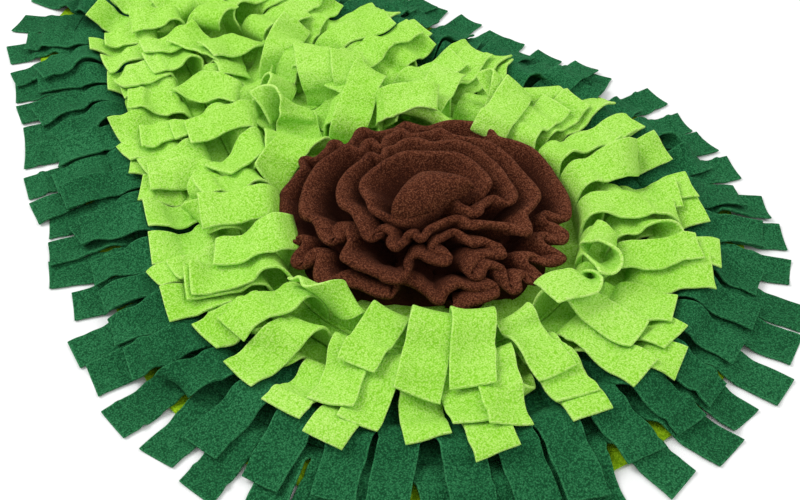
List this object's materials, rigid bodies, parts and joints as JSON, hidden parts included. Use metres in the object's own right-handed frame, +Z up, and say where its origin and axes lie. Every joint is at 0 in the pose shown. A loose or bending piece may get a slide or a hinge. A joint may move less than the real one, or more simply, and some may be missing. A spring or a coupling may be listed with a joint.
{
  "type": "snuffle mat",
  "caption": "Pear-shaped fleece snuffle mat: dark and light green fringe sewn in rings on a thin backing, round a wound brown rosette.",
  "frame": {"origin": "middle of the whole mat's box, on the surface it lies on", "axes": "+Y along the mat's length towards the narrow end, +X across it, +Z up out of the fringe"},
  "size_m": [0.4618, 0.685, 0.051],
  "materials": {
    "backing_cloth": "matt yellow-green felted cloth",
    "dark_fleece": "dark green polar fleece with a short pebbly nap",
    "light_fleece": "light lime-green polar fleece with a short pebbly nap",
    "brown_fleece": "chocolate-brown polar fleece with a short pebbly nap"
  },
  "bodies": {
    "root": {"backing": "backing_cloth", "rim_fringe_outer": "dark_fleece", "rim_fringe_inner": "dark_fleece", "flesh_fringe_outer": "light_fleece", "flesh_fringe_middle": "light_fleece", "flesh_fringe_inner": "light_fleece", "neck_fringe_01": "light_fleece", "neck_fringe_02": "light_fleece", "neck_fringe_03": "light_fleece", "neck_fringe_04": "light_fleece", "neck_fringe_05": "light_fleece", "neck_fringe_06": "light_fleece", "neck_fringe_07": "light_fleece", "neck_fringe_08": "light_fleece", "pit_rosette": "brown_fleece"}
  },
  "joints": []
}
